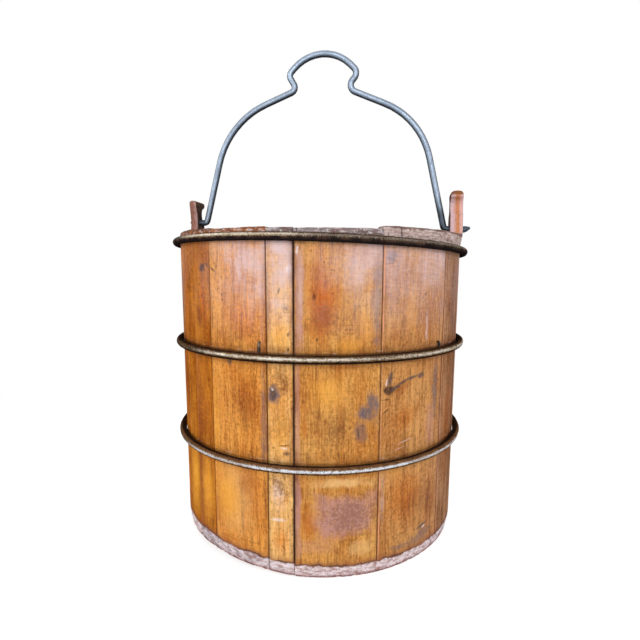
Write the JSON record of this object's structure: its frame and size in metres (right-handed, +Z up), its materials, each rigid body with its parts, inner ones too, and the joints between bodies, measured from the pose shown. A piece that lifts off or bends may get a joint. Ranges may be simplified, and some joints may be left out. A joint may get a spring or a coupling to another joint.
{
  "type": "wooden piggin",
  "caption": "Round staved wooden bucket with raised ears, iron rod hoops, and an iron bail with a grip loop that swings in the ears.",
  "frame": {"origin": "centre of the foot ring, on the surface that the bucket stands on", "axes": "+Z up the bucket's axis; ears on the X axis, with the higher bail hole at -X; -Y is the front"},
  "size_m": [0.3176, 0.3144, 0.502],
  "materials": {
    "stave_wood": "clear amber lacquer, worn satin",
    "base_wood": "bare, dulled by use",
    "bamboo": "bare",
    "hoop_iron": "hand-forged rod, dark and rubbed",
    "bail_iron": "hand-forged rod, dark blue-grey, rubbed"
  },
  "bodies": {
    "bucket": {"ear_stave_left": "stave_wood", "stave_front_1": "stave_wood", "stave_front_2": "stave_wood", "stave_front_3": "stave_wood", "stave_front_4": "stave_wood", "stave_front_5": "stave_wood", "stave_front_6": "stave_wood", "stave_front_7": "stave_wood", "ear_stave_right": "stave_wood", "stave_back_1": "stave_wood", "stave_back_2": "stave_wood", "stave_back_3": "stave_wood", "stave_back_4": "stave_wood", "stave_back_5": "stave_wood", "stave_back_6": "stave_wood", "base_board_1": "base_wood", "base_board_2": "base_wood", "base_board_3": "base_wood", "base_board_4": "base_wood", "stave_dowels": "bamboo", "base_dowels": "bamboo", "hoop_bottom": "hoop_iron", "hoop_middle": "hoop_iron", "hoop_top": "hoop_iron", "hoop_nails": "hoop_iron"},
    "bail": {"bail": "bail_iron"}
  },
  "joints": [
    {"name": "bail_pivot", "type": "hinge", "parent": "bucket", "child": "bail", "pos_m": [0, 0, 0.3172], "axis": [0.9993, 0, -0.0376], "range_deg": [-92, 92]}
  ]
}
